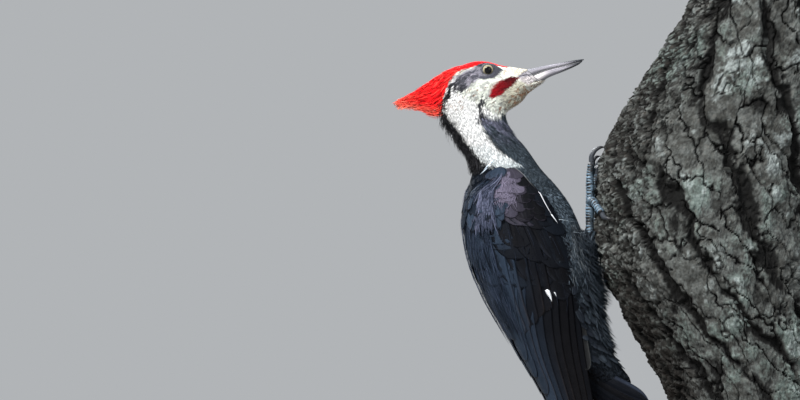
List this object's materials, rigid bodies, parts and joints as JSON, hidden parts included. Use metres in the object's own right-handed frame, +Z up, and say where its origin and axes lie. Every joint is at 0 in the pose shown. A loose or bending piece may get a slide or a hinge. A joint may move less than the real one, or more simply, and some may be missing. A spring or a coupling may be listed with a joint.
{
  "type": "pileated woodpecker display model",
  "caption": "Still, life-size male woodpecker with a red crest, clinging to a short cut length of tree trunk held upright by a flat wooden base and short rods.",
  "frame": {"origin": "middle of the underside of the stand's base", "axes": "+Z up along the trunk, +X from the bird's back towards the trunk, -Y the side that shows the bird's right wing"},
  "size_m": [0.4155, 0.22, 0.492],
  "materials": {
    "black_plumage": "glossy black flight and mantle feathers with a blue sheen",
    "slate_plumage": "soft slate-black body feathers",
    "face_plumage": "short white, grey, black and red face and neck feathers",
    "red_crest": "long silky scarlet crest feathers",
    "horn_bill": "smooth horn, silver-lilac with a dark tip",
    "eye_glass": "wet glass eye, pale yellow iris and black pupil",
    "scaly_foot": "blue-grey scaled skin",
    "horn_claw": "dark polished horn",
    "bark": "deeply furrowed grey-brown bark with pale lichen, sawn ends",
    "oiled_wood": "oiled dark hardwood",
    "steel_rod": "satin steel"
  },
  "bodies": {
    "root": {"head": "face_plumage", "neck": "face_plumage", "crest": "red_crest", "bill_upper": "horn_bill", "bill_lower": "horn_bill", "eye_right": "eye_glass", "eye_left": "eye_glass", "torso": "slate_plumage", "wing_right": "black_plumage", "wing_left": "black_plumage", "tail": "black_plumage", "thigh_right": "slate_plumage", "thigh_left": "slate_plumage", "foot_right": "scaly_foot", "foot_left": "scaly_foot", "claw_right_1": "horn_claw", "claw_right_2": "horn_claw", "claw_right_3": "horn_claw", "claw_right_4": "horn_claw", "claw_left_1": "horn_claw", "claw_left_2": "horn_claw", "claw_left_3": "horn_claw", "claw_left_4": "horn_claw", "perch": "bark", "stand_base": "oiled_wood", "stand_rod_inner": "steel_rod", "stand_rod_outer": "steel_rod"}
  },
  "joints": []
}
